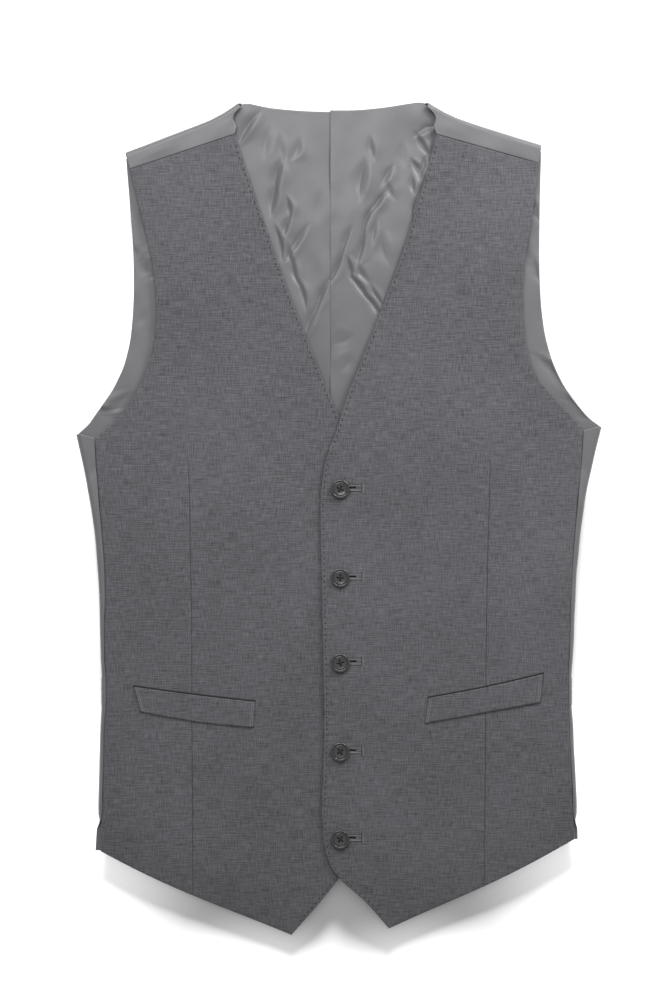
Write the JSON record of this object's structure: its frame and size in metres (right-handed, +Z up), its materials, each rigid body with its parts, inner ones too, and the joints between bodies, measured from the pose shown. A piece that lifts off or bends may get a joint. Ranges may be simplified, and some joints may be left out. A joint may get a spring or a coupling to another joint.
{
  "type": "suit waistcoat",
  "caption": "Single-breasted suit waistcoat laid flat and buttoned: wool fronts with welt pockets, satin back that wraps forward at shoulders and sides, V neck.",
  "frame": {"origin": "centre of the garment's footprint, on the surface that its back lies on", "axes": "+X towards the wearer's left side, +Y from the hem to the neck, +Z up from the surface, towards the fronts and buttons"},
  "size_m": [0.419, 0.6667, 0.0124],
  "materials": {
    "wool": "matte fine worsted, mid grey",
    "satin": "satin-weave back, soft sheen",
    "lining": "satin lining, creased, soft sheen",
    "button_resin": "polished dark grey resin",
    "thread": "dark twisted sewing thread",
    "slide_metal": "dark nickel"
  },
  "bodies": {
    "root": {"front_left": "wool", "front_right": "wool", "welt_left": "wool", "welt_right": "wool", "back_left": "satin", "back_right": "satin", "back_lining_left": "lining", "back_lining_right": "lining", "back_strap_left": "satin", "back_strap_right": "satin", "strap_slide": "slide_metal", "button_1": "button_resin", "button_2": "button_resin", "button_3": "button_resin", "button_4": "button_resin", "button_5": "button_resin", "button_shank_1": "thread", "button_shank_2": "thread", "button_shank_3": "thread", "button_shank_4": "thread", "button_shank_5": "thread"}
  },
  "joints": []
}
